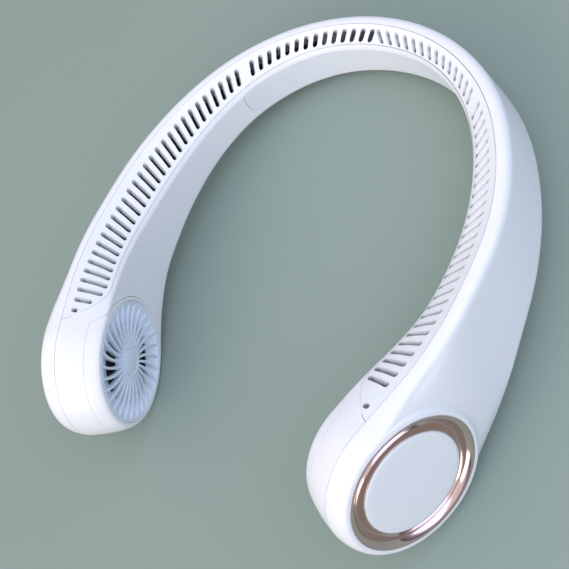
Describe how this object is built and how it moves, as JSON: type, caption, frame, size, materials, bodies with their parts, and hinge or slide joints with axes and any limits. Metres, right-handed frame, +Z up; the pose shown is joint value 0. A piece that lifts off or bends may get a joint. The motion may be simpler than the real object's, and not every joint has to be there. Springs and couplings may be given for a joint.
{
  "type": "electric neck fan",
  "caption": "Hollow horseshoe band worn round the neck, with a blower pod at each end that draws air in through a round grille and blows it out through slots along the top of the band.",
  "frame": {"origin": "middle of the bottom of the bounding box, the part lying on a table on both pods and the back of the band", "axes": "+X to the right pod, +Y from the pods to the back of the band, +Z up"},
  "size_m": [0.1926, 0.2034, 0.063],
  "materials": {
    "shell_white": "smooth moulded plastic, satin gloss",
    "strip_white": "smooth moulded plastic, satin gloss",
    "panel_white": "soft matt plastic",
    "rose_metal": "plated, polished rose gold",
    "disc_white": "smooth, slightly pearly",
    "grille_lavender": "smooth moulded plastic",
    "impeller_plastic": "moulded plastic",
    "mount_plastic": "moulded plastic",
    "bronze": "sintered bronze",
    "steel": "ground steel",
    "magnet": "sintered magnet",
    "copper_winding": "enamelled copper wire on a laminated core",
    "cell_foil": "foil pouch",
    "board_green": "lacquered circuit board",
    "socket_steel": "drawn steel",
    "switch_black": "moulded plastic",
    "button_white": "smooth moulded plastic",
    "light_window": "milky light guide",
    "lead_rubber": "soft insulation"
  },
  "bodies": {
    "casing": {"battery_left": "cell_foil", "battery_right": "cell_foil", "cap_disc_left": "disc_white", "cap_disc_right": "disc_white", "case_screws": "steel", "circuit_board": "board_green", "duct_floor_left": "mount_plastic", "duct_floor_right": "mount_plastic", "inner_shell": "shell_white", "intake_grille_left": "grille_lavender", "intake_grille_right": "grille_lavender", "motor_mount_left": "mount_plastic", "motor_mount_right": "mount_plastic", "motor_stator_left": "copper_winding", "motor_stator_right": "copper_winding", "mount_screws_left": "steel", "mount_screws_right": "steel", "neck_panel": "panel_white", "outer_shell": "shell_white", "pod_cover_left": "shell_white", "pod_cover_right": "shell_white", "push_switch": "switch_black", "shaft_bush_left": "bronze", "shaft_bush_right": "bronze", "status_light": "light_window", "trim_ring_left": "rose_metal", "trim_ring_right": "rose_metal", "usb_socket": "socket_steel", "vent_strip": "strip_white", "wire_loom_left": "lead_rubber", "wire_loom_right": "lead_rubber"},
    "impeller_left": {"impeller_left": "impeller_plastic", "motor_shaft_left": "steel", "magnet_ring_left": "magnet"},
    "impeller_right": {"impeller_right": "impeller_plastic", "motor_shaft_right": "steel", "magnet_ring_right": "magnet"},
    "power_button": {"power_button": "button_white"}
  },
  "joints": [
    {"name": "impeller_spin_left", "type": "hinge", "parent": "casing", "child": "impeller_left", "pos_m": [-0.07762, -0.07084, 0.0318], "axis": [0.9359, 0.2913, -0.1983], "continuous": true},
    {"name": "impeller_spin_right", "type": "hinge", "parent": "casing", "child": "impeller_right", "pos_m": [0.07762, -0.07084, 0.0318], "axis": [-0.9359, 0.2913, -0.1983], "continuous": true},
    {"name": "power_press", "type": "slide", "parent": "casing", "child": "power_button", "axis": [0.9895, -0.0321, -0.1407], "range_m": [0, 0.0008], "stiffness_N_per_m": 1500, "springref_m": -0.0004}
  ]
}
